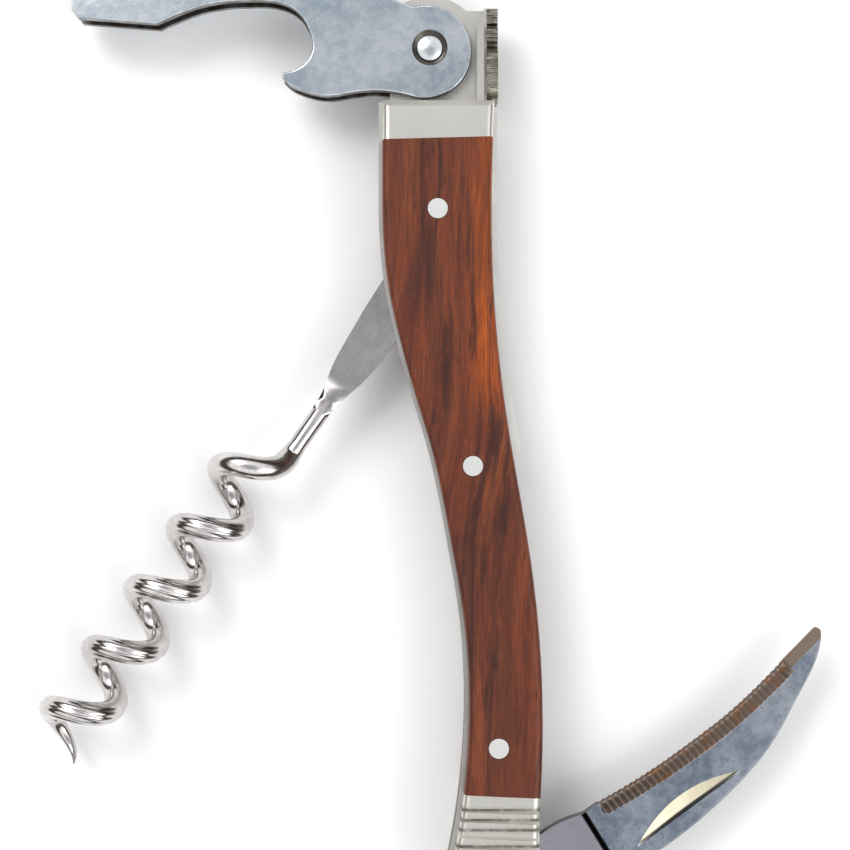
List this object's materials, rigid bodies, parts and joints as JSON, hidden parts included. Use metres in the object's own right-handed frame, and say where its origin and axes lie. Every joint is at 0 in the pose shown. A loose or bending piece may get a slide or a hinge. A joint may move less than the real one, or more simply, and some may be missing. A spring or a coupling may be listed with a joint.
{
  "type": "waiters corkscrew",
  "caption": "Folding waiter's corkscrew with wooden handle, wire worm, cap-lifting lever, serrated foil cutter and back spring.",
  "frame": {"origin": "middle handle pin's axis on the rear scale's flat outer face, the face that the tool rests on", "axes": "+X towards the handle's back, +Y along the handle towards the lever, +Z out of the front scale"},
  "size_m": [0.1, 0.1212, 0.0116],
  "materials": {
    "scale": "oiled rosewood, satin",
    "bolster": "satin nickel silver",
    "liner": "brushed",
    "polished_steel": "polished",
    "worm_chrome": "bright chrome",
    "blade": "ground and polished",
    "spring": "polished edge",
    "pin": "ground flush",
    "inner": "plain"
  },
  "bodies": {
    "handle": {"front_scale": "scale", "rear_scale": "scale", "front_neck_bolster": "bolster", "rear_neck_bolster": "bolster", "front_butt_bolster": "bolster", "rear_butt_bolster": "bolster", "front_liner": "liner", "rear_liner": "liner", "front_side_spacer": "inner", "rear_side_spacer": "inner", "centre_spacer": "inner", "front_cutter_washer": "inner", "rear_cutter_washer": "inner", "head_block": "liner", "thumb_tab": "bolster", "head_pin": "pin", "lever_rivet": "pin", "worm_pin": "pin", "worm_pin_sleeve": "pin", "middle_pin": "pin", "lower_pin": "pin", "cutter_pin": "pin"},
    "lever": {"lever": "polished_steel"},
    "worm": {"worm": "worm_chrome"},
    "foil_cutter": {"cutter_blade": "blade"},
    "back_spring": {"back_spring": "spring"}
  },
  "joints": [
    {"name": "lever_hinge", "type": "hinge", "parent": "handle", "child": "lever", "pos_m": [-0.0054, 0.05296, 0.0058], "axis": [0, 0, 1], "range_deg": [-78, 88]},
    {"name": "worm_hinge", "type": "hinge", "parent": "handle", "child": "worm", "pos_m": [-0.0044, 0.03224, 0.0058], "axis": [0, 0, 1], "range_deg": [-55, 29]},
    {"name": "cutter_hinge", "type": "hinge", "parent": "handle", "child": "foil_cutter", "pos_m": [0.0056, -0.05514, 0.0058], "axis": [0, 0, 1], "range_deg": [-128, 48]},
    {"name": "spring_flex", "type": "hinge", "parent": "handle", "child": "back_spring", "pos_m": [0.00212, 0.04326, 0.0058], "axis": [0, 0, 1], "range_deg": [-1.2, 0], "stiffness_Nm_per_rad": 0.2}
  ]
}
